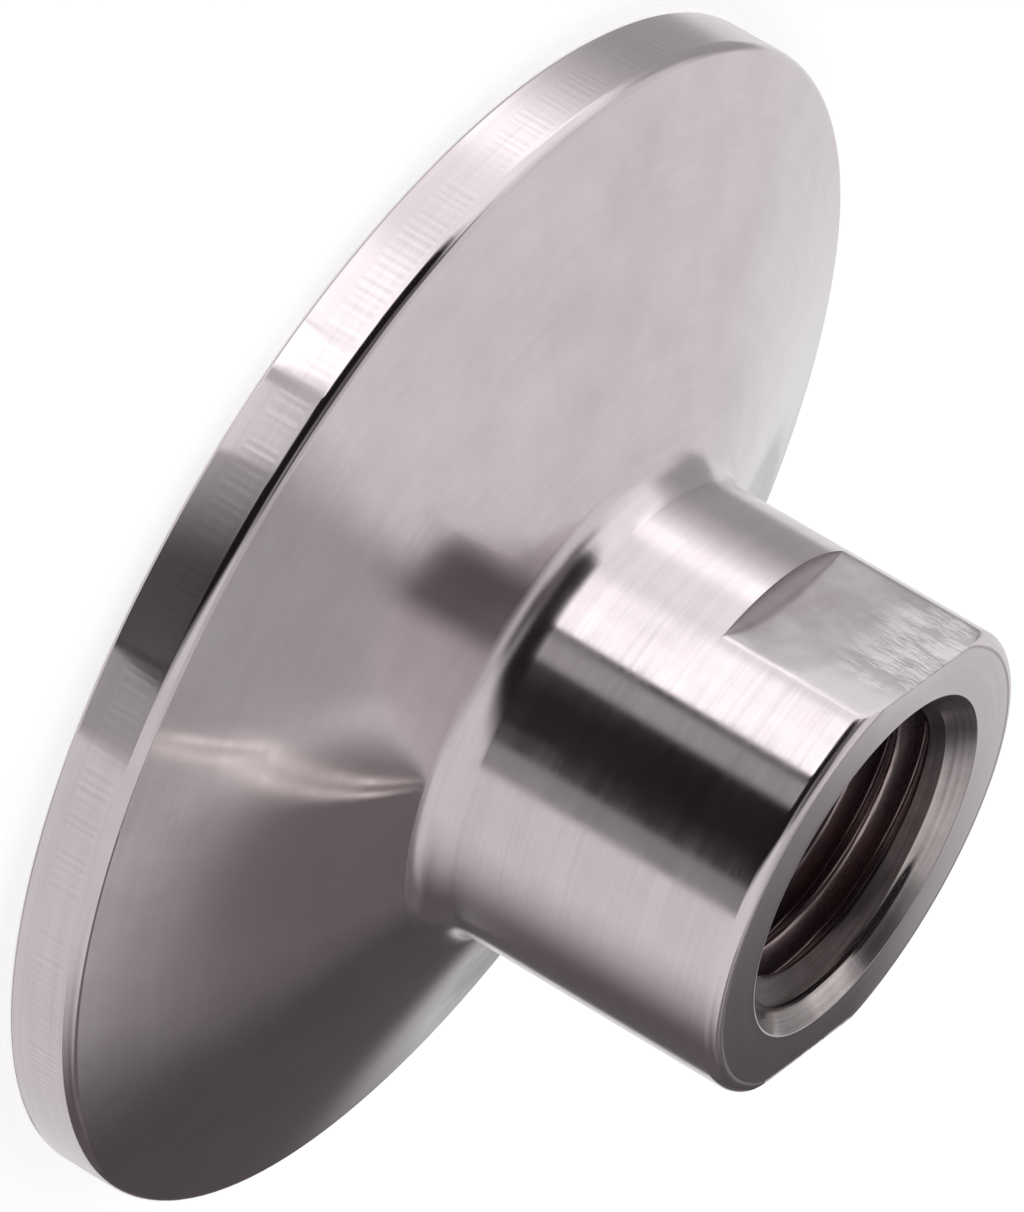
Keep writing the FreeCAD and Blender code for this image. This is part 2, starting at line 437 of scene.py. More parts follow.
@dataclass(frozen=True)
class Steel:
    """Stainless steel with the marks of one cutting tool.

    Attributes:
        name: Name of the material.
        tone: Colour of the bare metal.
        shade: Colour where marks and film are deepest.
        contrast: How far the colour moves from tone to shade with the marks.
        roughness: Mean roughness.
        variation: How far the roughness moves with the marks.
        stretch: Anisotropy across the tool's marks.
        pitch: Spacing of the tool's marks.
        depth: Depth of the marks.
        lay: Length over which a mark stays the same, along itself.
        film: Size of the faint cloudy patches, which in the socket's mouth, lead-in and thread are dark
            enough to be painted shade.
        film_weight: Weight of those patches against the marks.
        bow: Slight bow of the surface.
    """

    name: str
    tone: tuple[float, float, float] = (0.720, 0.650, 0.672)
    shade: tuple[float, float, float] = (0.46, 0.40, 0.415)
    contrast: float = 0.35
    roughness: float = 0.22
    variation: float = 0.03
    stretch: float = 0.6
    pitch: float = 0.2
    depth: float = 0.0005
    lay: float = 9.0
    film: float = 5.0
    film_weight: float = 0.4
    bow: Bow = field(default_factory=Bow)

    def _marks(self, bench: NodeBench, distance: Any, place: Any) -> tuple[Any, Any]:
        """Works out the tool's marks: lines along the cut, which change slowly along themselves.

        Args:
            bench: The tree to work in.
            distance: Length along the section, in millimetres.
            place: Place on the piece, in metres.

        Returns:
            The marks' height in millimetres, and their share of shade.
        """
        across = bench.math("DIVIDE", distance, self.pitch)
        x, y, _ = bench.split(place)
        slow = (bench.math("MULTIPLY", value, 1.0 / (MM * self.lay)) for value in (x, y))
        pattern = bench.vector(across, *slow)
        coarse = bench.noise(pattern, *COARSE_MARKS)
        fine = bench.noise(pattern, *FINE_MARKS)
        lines = bench.math("ADD", bench.math("MULTIPLY", coarse, COARSE_SHARE),
                           bench.math("MULTIPLY", fine, 1.0 - COARSE_SHARE))
        return bench.math("MULTIPLY", lines, self.depth), lines

    def _colour(self, bench: NodeBench, share: Any, wear: Any) -> bpy.types.NodeSocket:
        """Moves the colour from tone to shade where the marks are deep, and back on a worn edge.

        Args:
            bench: The tree to work in.
            share: Share of shade.
            wear: Nearness to a worn edge, from 0 to 1.

        Returns:
            The colour.
        """
        deep = bench.span(share, NOISE_LOW, NOISE_HIGH, self.contrast, 0.0)
        dulled = bench.math("SUBTRACT", deep, bench.math("MULTIPLY", wear, WORN_LIGHT))
        return bench.blend(dulled, (*self.tone, 1.0), (*self.shade, 1.0))

    def _dullness(self, bench: NodeBench, share: Any, wear: Any, place: Any) -> bpy.types.NodeSocket:
        """Works out the roughness: higher where the marks are deep, and lower on a worn edge.

        Args:
            bench: The tree to work in.
            share: Share of shade.
            wear: Nearness to a worn edge, from 0 to 1.
            place: Place on the piece, in metres; not used here, only by the milled steel.

        Returns:
            The roughness.
        """
        low, high = self.roughness - self.variation, self.roughness + self.variation
        rough = bench.span(share, NOISE_LOW, NOISE_HIGH, high, low)
        return bench.math("SUBTRACT", rough, bench.math("MULTIPLY", wear, WORN_POLISH * self.roughness))

    def material(self, length: float) -> bpy.types.Material:
        """Builds the material.

        Args:
            length: Length of the part's section, which one unit of the map's first axis stands for.

        Returns:
            The new material.
        """
        material, bench = new_material(self.name)
        place = bench.add("ShaderNodeTexCoord").outputs["Object"]
        along, _, _ = bench.turning()
        distance = bench.math("MULTIPLY", along, length)
        height, marks = self._marks(bench, distance, place)
        film = bench.noise(place, 1.0 / (MM * self.film), *FILM_NOISE)
        share = bench.math("ADD", bench.math("MULTIPLY", marks, 1.0 - self.film_weight),
                           bench.math("MULTIPLY", film, self.film_weight))
        wear = bench.add("ShaderNodeAttribute", attribute_name="edge").outputs["Fac"]
        height = bench.math("ADD", height, self.bow.height(bench, distance))
        bump = bench.add("ShaderNodeBump", {"Height": height, "Distance": MM, "Strength": 1.0})
        tangent = bench.add("ShaderNodeTangent", direction_type="UV_MAP", uv_map=MAP)
        shader = bench.add(
            "ShaderNodeBsdfPrincipled",
            {
                "Base Color": self._colour(bench, share, wear),
                "Metallic": 1.0,
                "Roughness": self._dullness(bench, share, wear, place),
                "Anisotropic": self.stretch,
                "Tangent": tangent.outputs[0],
                "Normal": bump.outputs[0],
            },
        )
        bench.finish(shader)
        return material


@dataclass(frozen=True)
class ChatteredSteel(Steel):
    """Turned steel whose tool chattered, leaving short marks across the rim.

    Attributes:
        count: Number of chatter marks round the rim.
        swing: Depth of a chatter mark.
        start: Distance along the section at which the marks start.
        end: Distance at which they end.
        dark: How far a mark moves the colour towards the shade.
        wander: How far uneven spacing moves a mark, in marks.
        weakest: Strength of the weakest mark.
        patch: Size of the patches where the marks are strong.
        between: Strength left between those patches.
        fade_in: Width over which the marks come up at their start.
        fade_out: Width over which they go at their end.
    """

    count: int = 400
    swing: float = 0.0012
    start: float = 0.0
    end: float = 1.0
    dark: float = 0.12
    wander: float = 1.6
    weakest: float = 0.1
    patch: float = 6.0
    between: float = 0.3
    fade_in: float = 0.25
    fade_out: float = 0.15

    def _marks(self, bench: NodeBench, distance: Any, place: Any) -> tuple[Any, Any]:
        """Adds straight marks across the rim to the turned lines: a sine round it, unevenly spaced.

        Args:
            bench: The tree to work in.
            distance: Length along the section, in millimetres.
            place: Place on the piece, in metres.

        Returns:
            The marks' height in millimetres, and their share of shade.
        """
        height, lines = super()._marks(bench, distance, place)
        _, round_it, _ = bench.turning()
        turned = bench.math("MULTIPLY", round_it, float(self.count))
        uneven = bench.noise(bench.vector(turned, 0.0, 0.0), *SHIFT_NOISE)
        shifted = bench.math("ADD", turned, bench.math("MULTIPLY", uneven, self.wander))
        wave = bench.math("SINE", bench.math("MULTIPLY", shifted, FULL_TURN))
        each = bench.noise(bench.vector(turned, 0.0, NOISE_APART), *STRENGTH_NOISE)
        each = bench.span(each, NOISE_LOW, NOISE_HIGH, self.weakest, 1.0)
        patches = bench.noise(place, 1.0 / (MM * self.patch), PATCH_DETAIL)
        patches = bench.span(patches, SMOOTH_LOW, SMOOTH_HIGH, self.between, 1.0)
        inside = bench.span(distance, self.start, self.start + self.fade_in, 0.0, 1.0, soft=True)
        before = bench.span(distance, self.end - self.fade_out, self.end, 1.0, 0.0, soft=True)
        strength = bench.math("MULTIPLY", bench.math("MULTIPLY", patches, each),
                              bench.math("MULTIPLY", inside, before))
        marks = bench.math("MULTIPLY", wave, strength)
        return (bench.math("ADD", height, bench.math("MULTIPLY", marks, self.swing / 2.0)),
                bench.math("ADD", lines, bench.math("MULTIPLY", marks, self.dark)))


@dataclass(frozen=True)
class LedgeSteel(Steel):
    """Steel of the flats' small shoulder, with painted shade: dark along its outer edge and light at its
    inner one.

    Attributes:
        painted_shade_end: Share of the flats' cut at which the painted shade is gone and it is fully
            light.
    """

    painted_shade_end: float = 0.7

    def _colour(self, bench: NodeBench, share: Any, wear: Any) -> bpy.types.NodeSocket:
        """Paints shade on the shoulder: moves the colour from shade to tone with the share of the flats'
        cut.

        Args:
            bench: The tree to work in.
            share: Share of shade, which this steel leaves out.
            wear: Nearness to a worn edge, likewise.

        Returns:
            The colour.
        """
        cut = bench.add("ShaderNodeAttribute", attribute_name="cut").outputs["Fac"]
        # Painted shade on the shoulder: darkest at its outer edge, gone where the cut reaches the set
        # share.
        dark = bench.span(cut, 0.0, self.painted_shade_end, 1.0, 0.0)
        return bench.blend(dark, (*self.tone, 1.0), (*self.shade, 1.0))


@dataclass(frozen=True)
class MilledSteel(Steel):
    """Steel milled flat, with soft blotches, and scuffs towards its end and its near edge that carry a
    painted sheen.

    Attributes:
        low: Height at which the scuffs and their painted sheen start.
        high: Height at which they are full.
        near: Distance of the scuffed edge, with its painted sheen, from the flat's middle.
        near_start: Share of that distance at which the patch along the edge starts.
        blotch: Size of the soft blotches.
        scuffed: Roughness of the scuffed parts.
        patch_drop: How far below low the patch along the near edge starts.
        streak_range: Noise values between which a streak comes up.
        painted_sheen_weight: Weight of the scuffs in the share of shade, which lightens them as a
            painted sheen.
        blotch_light: Weight of the blotches there.
    """

    low: float = 17.2
    high: float = 20.6
    near: float = 4.0
    near_start: float = 0.1
    blotch: float = 2.2
    scuffed: float = 0.5
    patch_drop: float = 1.5
    streak_range: tuple[float, float] = (0.38, 0.66)
    painted_sheen_weight: float = 0.5
    blotch_light: float = 0.8

    def _scuffs_and_sheen(self, bench: NodeBench, place: Any) -> bpy.types.NodeSocket:
        """Works out the scuffs and their painted sheen: streaks up the boss near its end, and a soft
        patch by the near edge.

        Args:
            bench: The tree to work in.
            place: Place on the piece, in metres.

        Returns:
            The share of scuff and painted sheen, from 0 to 1.
        """
        x, y, z = bench.split(place)
        stretched = bench.vector(bench.math("MULTIPLY", x, 1.0 / (MM * self.pitch)), y,
                                 bench.math("MULTIPLY", z, 1.0 / (MM * self.lay)))
        noise = bench.noise(stretched, 1.0, *SCUFF_AND_SHEEN_NOISE)
        streaks = bench.span(noise, *self.streak_range, 0.0, 1.0, soft=True)
        top = bench.span(z, self.low * MM, self.high * MM, 0.0, 1.0, soft=True)
        beside = bench.span(x, self.near_start * self.near * MM, self.near * MM, 0.0, 1.0, soft=True)
        above = bench.span(z, (self.low - self.patch_drop) * MM, self.high * MM, 0.0, 1.0, soft=True)
        return bench.math("MAXIMUM", bench.math("MULTIPLY", streaks, top),
                          bench.math("MULTIPLY", beside, above))

    def _marks(self, bench: NodeBench, distance: Any, place: Any) -> tuple[Any, Any]:
        """Works out soft blotches with the scuffs and their painted sheen over them.

        Args:
            bench: The tree to work in.
            distance: Length along the section, in millimetres, which this steel doesn't use.
            place: Place on the piece, in metres.

        Returns:
            The marks' height in millimetres, and their share of shade.
        """
        blotches = bench.noise(place, 1.0 / (MM * self.blotch), BLOTCH_DETAIL)
        scuffs = self._scuffs_and_sheen(bench, place)
        height = bench.math("MULTIPLY", bench.math("ADD", blotches, scuffs), self.depth)
        # Here the scuffs lighten the colour: a painted sheen.
        share = bench.math("ADD", bench.math("MULTIPLY", scuffs, self.painted_sheen_weight),
                           bench.math("MULTIPLY", blotches, self.blotch_light))
        return height, share

    def _dullness(self, bench: NodeBench, share: Any, wear: Any, place: Any) -> bpy.types.NodeSocket:
        """Gives the roughness, which rises with the scuffs."""
        return bench.span(self._scuffs_and_sheen(bench, place), 0.0, 1.0, self.roughness, self.scuffed)


@dataclass
class AdapterBody:
    """The whole part, turned and milled from one bar.

    Attributes:
        flange_radius: Outside of the clamp flange.
        rim_width: Straight rim of the flange.
        back_angle: Slope of the flange's back, in degrees.
        face_edge: Broken edge between rim and clamp face.
        back_round: Round of the edge between rim and back.
        length: Clamp face to boss end.
        boss_radius: Outside of the boss.
        root_radius: Fillet between back and boss.
        end_edge: Width of the boss's broken end edge.
        end_round: Rounds that make one soft round of that edge.
        mouth_radius: Countersink at the socket's mouth.
        mouth_width: Width of the countersink outside the thread.
        socket_depth: Depth of the socket's full bore.
        drill_angle: Included angle of the drill point at its floor, in degrees.
        through_radius: Through bore to the clamp face.
        through_edge: Broken edge of the through bore.
        groove_centre: Radius of the gasket groove's centre line.
        groove_radius: Radius of the groove's section.
        groove_depth: Depth of the groove.
        groove_points: Points across the groove's section.
        lip_round: Small round on the groove's lips.
        edge_round: Small round on the other broken edges.
        bore_round: Small round on the edges inside the bore.
        coarser_rows: Heights below which the rows in the socket lie wider apart, twice.
        thread_room: Room that the thread leaves inside the mouth's edge and above the socket's floor.
        column_counts: Columns over half a flat, at its edge, and from there to 90 degrees off it.
        cluster: Half the width of the columns at a flat's edge, in degrees.
        unmarked: Strips without chatter marks at the rim's lower and upper edge.
        thread: The thread in the socket.
        flats: The two wrench flats.
    """

    flange_radius: float = 25.25
    rim_width: float = 2.85
    back_angle: float = 20.0
    face_edge: float = 0.15
    back_round: float = 0.5
    length: float = 21.6
    boss_radius: float = 10.0
    root_radius: float = 1.5
    end_edge: float = 0.3
    end_round: float = 0.414
    mouth_radius: float = 7.35
    mouth_width: float = 0.85
    socket_depth: float = 15.0
    drill_angle: float = 118.0
    through_radius: float = 5.0
    through_edge: float = 0.3
    groove_centre: float = 21.8
    groove_radius: float = 2.4
    groove_depth: float = 1.6
    groove_points: int = 19
    lip_round: float = 0.08
    edge_round: float = 0.06
    bore_round: float = 0.05
    coarser_rows: tuple[float, float] = (14.0, 8.4)
    thread_room: tuple[float, float] = (0.08, 0.3)
    column_counts: tuple[int, int, int] = (12, 11, 40)
    cluster: float = 1.05
    unmarked: tuple[float, float] = (0.9, 0.1)
    thread: PipeThread = field(default_factory=PipeThread)
    flats: WrenchFlats = field(default_factory=WrenchFlats)

    def _groove(self) -> list[Corner]:
        """Lays out the gasket groove's round bottom: an arc whose centre lies below the clamp face.

        Returns:
            Corners along the arc, from lip to lip.
        """
        drop = self.groove_radius - self.groove_depth
        half = math.acos(drop / self.groove_radius)
        sweep = np.linspace(-half, half, self.groove_points)
        radii = self.groove_centre + self.groove_radius * np.sin(sweep)
        heights = self.groove_radius * np.cos(sweep) - drop
        heights[[0, -1]] = 0.0
        rounds = np.zeros(self.groove_points)
        rounds[[0, -1]] = self.lip_round
        return [Corner(r, z, Surface.CLAMP_FACE, a) for r, z, a in zip(radii, heights, rounds)]

    def _shoulder(self) -> list[Corner]:
        """Lays out the flats' shoulder.

        Returns:
            Corners at its edge, its middle and its inner corner.
        """
        floor, step = self.flats.shoulder, self.flats.step
        return [
            Corner(self.boss_radius, floor, Surface.SHOULDER, sharp=True),
            Corner(self.boss_radius, floor + step, Surface.SHOULDER, cut=0.5),
            Corner(self.boss_radius, floor + 2 * step, Surface.BOSS, steps=10, cut=1.0, sharp=True),
        ]

    def section(self) -> Section:
        """Lays out the half section.

        Returns:
            The section, from the through bore's lower edge outwards and round.
        """
        slope = math.radians(self.back_angle)
        root = self.rim_width + (self.flange_radius - self.boss_radius) * math.tan(slope)
        crest = self.thread.crest_radius
        opening = self.mouth_radius - self.mouth_width
        floor = self.length - self.socket_depth
        drop = (crest - self.through_radius) / math.tan(math.radians(self.drill_angle / 2.0))
        dense, plain = self.coarser_rows
        start = self.through_radius + self.through_edge
        corners = [Corner(start, 0.0, Surface.CLAMP_FACE, self.bore_round, steps=8)]
        corners += self._groove()
        corners[-1] = Corner(corners[-1].radius, 0.0, Surface.CLAMP_FACE, self.lip_round, steps=2)
        corners += [
            Corner(self.flange_radius - self.face_edge, 0.0, Surface.RIM, self.edge_round),
            Corner(self.flange_radius, self.face_edge, Surface.RIM, self.edge_round, steps=6),
            Corner(self.flange_radius, self.rim_width, Surface.BACK, self.back_round, steps=18),
            Corner(self.boss_radius, root, Surface.BOSS, self.root_radius, steps=6),
        ]
        corners += self._shoulder()
        corners += [
            Corner(self.boss_radius, self.length - self.end_edge, Surface.BOSS, self.end_round, cut=1.0),
            Corner(self.boss_radius - self.end_edge, self.length, Surface.BOSS, self.end_round, cut=1.0,
                   open_end=True, sharp=True),
            Corner(self.boss_radius - 2.0 * self.end_edge, self.length, Surface.END, steps=6),
            Corner(self.mouth_radius, self.length, Surface.MOUTH, self.edge_round, steps=7),
            Corner(opening, self.length - self.mouth_width, Surface.LEAD_IN, steps=7),
            Corner(crest, self.length - (self.mouth_radius - crest), Surface.THREAD, steps=110),
            Corner(crest, dense, Surface.THREAD, steps=56),
            Corner(crest, plain, Surface.THREAD, steps=3),
            Corner(crest, floor, Surface.THREAD, self.bore_round, steps=2),
            Corner(self.through_radius, floor - drop, Surface.THREAD, self.bore_round, steps=5),
            Corner(self.through_radius, self.through_edge, Surface.THREAD, self.bore_round),
        ]
        return Section(corners)

    def columns(self) -> np.ndarray:
        """Places the columns round the axis, in radians, with a cluster at each edge of the flats.

        One quarter runs from a flat's middle to 90 degrees off it. It is mirrored and turned to make
        four.

        Returns:
            The columns' angles from +X, in order, starting at the middle of the flat that faces -Y.
        """
        over, at_edge, beyond = self.column_counts
        edge = math.degrees(self.flats.half_angle(np.array(self.boss_radius)).item())
        near = edge + np.linspace(-self.cluster, self.cluster, at_edge)
        first, last = np.linspace(0.0, near[0], over), np.linspace(near[-1], 90.0, beyond)
        quarter = np.concatenate([first[:-1], near, last[1:]])
        half = np.concatenate([quarter, 180.0 - quarter[-2:0:-1]])
        return np.radians(np.concatenate([half, half + 180.0]) - 90.0)

    def grid(self, stations: Stations) -> tuple[np.ndarray, np.ndarray]:
        """Works out the whole surface as a grid of stations by columns, closed both ways.

        Each station is a ring of its radius at its height. From the shoulder up the ring is cut by the
        flats, and its columns are squeezed so that the same column follows the flats' edge. Across the
        end face a ring is a share of the outer outline and a share of the mouth. In the socket the
        radius is the larger of the plain bore and the thread.

        Args:
            stations: The half section's stations.

        Returns:
            The points as (station, column, 3), and the surface number of each face.
        """
        line, cut = stations.line, stations.cuts
        turn = self.columns()[None, :]
        radius = np.repeat(line[:, :1], turn.shape[1], axis=1)
        height = np.repeat(line[:, 1:], turn.shape[1], axis=1)

        off = np.abs((turn + QUARTER_TURN + QUARTER_TURN) % math.pi - QUARTER_TURN)
        side = np.sign(np.sin(2.0 * (turn + QUARTER_TURN)))
        middle = turn - side * off
        base = self.flats.half_angle(np.array(self.boss_radius))
        reached = self.flats.half_angle(np.maximum(line[:, 0], self.flats.half_across))
        width = np.where(cut > 0.0, reached, base)[:, None]
        beyond = (QUARTER_TURN - off) * (QUARTER_TURN - width) / (QUARTER_TURN - base)
        squeezed = np.where(off <= base, off * width / base, QUARTER_TURN - beyond)
        angle = middle + side * squeezed
        radius = radius + (self.flats.cut(radius, squeezed) - radius) * cut[:, None]

        face = np.flatnonzero((stations.surfaces == Surface.END.value) & (cut == 0.0))
        outer = face[0] - 1
        share = (line[face, 0] - self.mouth_radius) / (line[outer, 0] - self.mouth_radius)
        outline = radius[outer] * np.exp(1j * angle[outer])
        mouth = self.mouth_radius * np.exp(1j * turn)
        spread = mouth + (outline - mouth) * np.clip(share, 0.0, 1.0)[:, None]
        radius[face], angle[face] = np.abs(spread), np.unwrap(np.angle(spread), axis=1)

        depth = self.length - height
        edge_room, floor_room = self.thread_room
        bore = [surface.value for surface in (Surface.MOUTH, Surface.LEAD_IN, Surface.THREAD)]
        socket = np.isin(stations.surfaces, bore) & (line[:, 0] < self.mouth_radius - edge_room)
        threaded = socket[:, None] & (depth < self.socket_depth - floor_room)
        radius = np.where(threaded, np.maximum(radius, self.thread.radius(angle, depth)), radius)

        points = np.stack([radius * np.cos(angle), radius * np.sin(angle), height], axis=2)
        faces = np.repeat(stations.surfaces[:, None], turn.shape[1], axis=1)
        face_off = (off + np.roll(off, -1, axis=1)) / 2.0
        flat = (face_off < base) & (cut == 1.0)[:, None]
        faces = np.where(flat & (faces == Surface.BOSS.value), Surface.FLAT.value, faces)
        plain = (face_off > base) & (faces == Surface.SHOULDER.value)
        return points, np.where(plain, Surface.BOSS.value, faces)

    def build(self) -> bpy.types.Object:
        """Makes the mesh from the grid, with its sharp edges, map and attributes.

        Returns:
            The new object, at the origin, in metres.
        """
        stations = self.section().stations()
        points, faces = self.grid(stations)
        rows, count = points.shape[:2]
        number = np.arange(rows * count).reshape(rows, count)
        below, after = np.roll(number, -1, axis=0), np.roll(number, -1, axis=1)
        both = np.roll(below, -1, axis=1)
        quads = np.stack([number, after, both, below], axis=2).reshape(-1, 4)
        mesh = bpy.data.meshes.new("turned_adapter")
        mesh.from_pydata((points.reshape(-1, 3) * MM).tolist(), [], quads.tolist())
        mesh.polygons.foreach_set("material_index", faces.reshape(-1).astype(np.int32))
        mesh.polygons.foreach_set("use_smooth", np.ones(len(quads), bool))
        ends = np.empty(2 * len(mesh.edges), np.int32)
        mesh.edges.foreach_get("vertices", ends)
        ring = ends.reshape(-1, 2) // count
        creased = (ring[:, 0] == ring[:, 1]) & stations.sharps[ring[:, 0]]
        mesh.attributes.new("sharp_edge", "BOOLEAN", "EDGE").data.foreach_set("value", creased)
        self._map(mesh, stations)
        for name, values in (("edge", stations.edges), ("cut", stations.cuts)):
            mesh.attributes.new(name, "FLOAT", "POINT").data.foreach_set(
                "value", np.repeat(values, count).astype(np.float32))
        mesh.validate()
        mesh.update()
        body = bpy.data.objects.new("turned_adapter", mesh)
        bpy.context.scene.collection.objects.link(body)
        return body

    def _map(self, mesh: bpy.types.Mesh, stations: Stations) -> None:
        """Maps each face's corners: length along the section first, and share of a turn second.

        Args:
            mesh: The mesh, whose faces run column by column along each station.
            stations: The half section's stations.
        """
        lengths = stations.lengths()
        along = lengths / lengths[-1]
        turn = self.columns()
        around = (np.append(turn, turn[0] + FULL_TURN) - turn[0]) / FULL_TURN
        low = np.meshgrid(along[:-1], around[:-1], indexing="ij")
        high = np.meshgrid(along[1:], around[1:], indexing="ij")
        u = np.stack([low[0], low[0], high[0], high[0]], axis=2)
        v = np.stack([low[1], high[1], high[1], low[1]], axis=2)
        layer = mesh.uv_layers.new(name=MAP)
        layer.data.foreach_set("uv", np.stack([u, v], axis=3).reshape(-1).astype(np.float32))

    def finishes(self, stations: Stations) -> dict[Surface, Steel]:
        """Gives each surface its steel.

        Args:
            stations: The half section's stations, which say where each surface lies along it.

        Returns:
            The finish of each surface.
        """
        rim, back = stations.start(Surface.RIM), stations.start(Surface.BACK)
        end, mouth = stations.start(Surface.END), stations.start(Surface.MOUTH)
        level = self.flange_radius - self.boss_radius - self.root_radius
        back_width = level / math.cos(math.radians(self.back_angle))
        lower_strip, upper_strip = self.unmarked
        return {
            Surface.CLAMP_FACE: Steel("faced_steel", roughness=0.2, stretch=0.7),
            Surface.RIM: ChatteredSteel(
                "chattered_steel", roughness=0.2, stretch=0.7, pitch=0.12, dark=0.45,
                start=rim + lower_strip, end=back - upper_strip),
            Surface.BACK: Steel(
                "back_steel", roughness=0.072, variation=0.02, stretch=0.95, contrast=0.45, pitch=0.3,
                depth=0.0003, film=4.0, film_weight=0.7,
                bow=Bow(back, back_width, first=-0.035, last=0.095)),
            Surface.BOSS: Steel("boss_steel", roughness=0.17, variation=0.05, stretch=0.85, film=1.6),
            # The shoulder's dark tone and shade are painted shade along the step.
            Surface.SHOULDER: LedgeSteel(
                "shoulder_painted_shade", tone=(0.50, 0.46, 0.47), shade=(0.20, 0.17, 0.18), roughness=0.35,
                stretch=0.0),
            # The flats' light tone and strong contrast let the scuffs paint a sheen on them.
            Surface.FLAT: MilledSteel(
                "milled_steel", tone=(0.84, 0.79, 0.80), contrast=0.75, roughness=0.22, stretch=0.2,
                pitch=0.8, depth=0.012, lay=2.2, film=1.2),
            Surface.END: Steel(
                "end_steel", tone=(0.645, 0.585, 0.60), contrast=0.2, roughness=0.18, stretch=0.3,
                depth=0.0002, bow=Bow(end, width=2.2, first=0.07, last=0.03)),
            # The countersink's lower tone and dark mottled patches are painted shade inside the mouth.
            Surface.MOUTH: Steel(
                "mouth_steel_painted_shade", tone=(0.62, 0.56, 0.56), shade=(0.16, 0.13, 0.13), contrast=0.9,
                roughness=0.2, stretch=0.6, film=2.4,
                bow=Bow(mouth, width=1.0, first=-0.18, last=-0.18)),
            # The lead-in's near-black tone and the thread's dark tone are painted shade deep in the
            # socket.
            Surface.LEAD_IN: Steel(
                "lead_in_steel_painted_shade", tone=(0.12, 0.095, 0.095), shade=(0.04, 0.03, 0.03), contrast=0.9,
                roughness=0.3, stretch=0.3, pitch=0.1, film=1.6),
            Surface.THREAD: Steel(
                "thread_steel_painted_shade", tone=(0.52, 0.41, 0.42), shade=(0.18, 0.13, 0.14), contrast=0.9,
                roughness=0.3, variation=0.1, stretch=0.3, pitch=0.1, film=1.6),
        }

    def dress(self, body: bpy.types.Object) -> None:
        """Gives the piece its materials and sets it in the frame in place of the plain solid.

        Args:
            body: The piece that build made.
        """
        stations = self.section().stations()
        finishes = self.finishes(stations)
        whole = float(stations.lengths()[-1])
        for surface in Surface:
            body.data.materials.append(finishes[surface].material(whole))
        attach(body, "root")
        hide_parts(NODE)


@dataclass(frozen=True)
class SoftPanel:
    """One panel or flag, as a window with soft sides over what lies behind it.

    Attributes:
        bearing: Its middle round the part, in degrees from the camera, positive towards the near flat.
        height: Its middle, in degrees above the horizon, or in millimetres from the axis on the board.
        half_width: Half its width, in degrees of bearing.
        half_height: Half its height, in the same unit as height.
        side_fade: Width of its soft left and right sides.
        end_fade: Width of its soft lower and upper ends.
        strength: Its brightness, where 1 is white.
        lean: Bearing by which it leans over for each unit of height.
        tint: Its colour.
    """

    bearing: float
    height: float
    half_width: float
    half_height: float
    side_fade: float
    end_fade: float
    strength: float
    lean: float = 0.0
    tint: tuple[float, float, float] = (1.0, 1.0, 1.0)

    def _window(self, bench: NodeBench, distance: Any, half: float, fade: float) -> bpy.types.NodeSocket:
        """Gives 1 where the distance is within half, and 0 beyond it, with a soft edge of this width."""
        return bench.span(distance, half - fade / 2.0, half + fade / 2.0, 1.0, 0.0, soft=True)

    def share(self, bench: NodeBench, bearing: Any, height: Any) -> bpy.types.NodeSocket:
        """Gives how far the panel covers a point: the window of its bearing times that of its height.

        Args:
            bench: The tree to work in.
            bearing: Bearing of the point, in degrees.
            height: Height of the point, in the panel's unit.

        Returns:
            The share, from 0 to 1.
        """
        rise = bench.math("SUBTRACT", height, self.height)
        middle = bench.math("ADD", bench.math("MULTIPLY", rise, self.lean), self.bearing)
        turned = bench.math("WRAP", bench.math("SUBTRACT", bearing, middle), 180.0, -180.0)
        off, above = bench.math("ABSOLUTE", turned), bench.math("ABSOLUTE", rise)
        return bench.math("MULTIPLY", self._window(bench, off, self.half_width, self.side_fade),
                          self._window(bench, above, self.half_height, self.end_fade))

    def lay(self, bench: NodeBench, under: Any, share: Any) -> bpy.types.NodeSocket:
        """Lays the panel's light over the light behind it by its share."""
        return bench.blend(share, under, (*(part * self.strength for part in self.tint), 1.0))


# Tints of the light streaks and of the dark flags.
WARM = (1.0, 0.93, 0.85)
DUSK = (1.07, 0.97, 1.01)

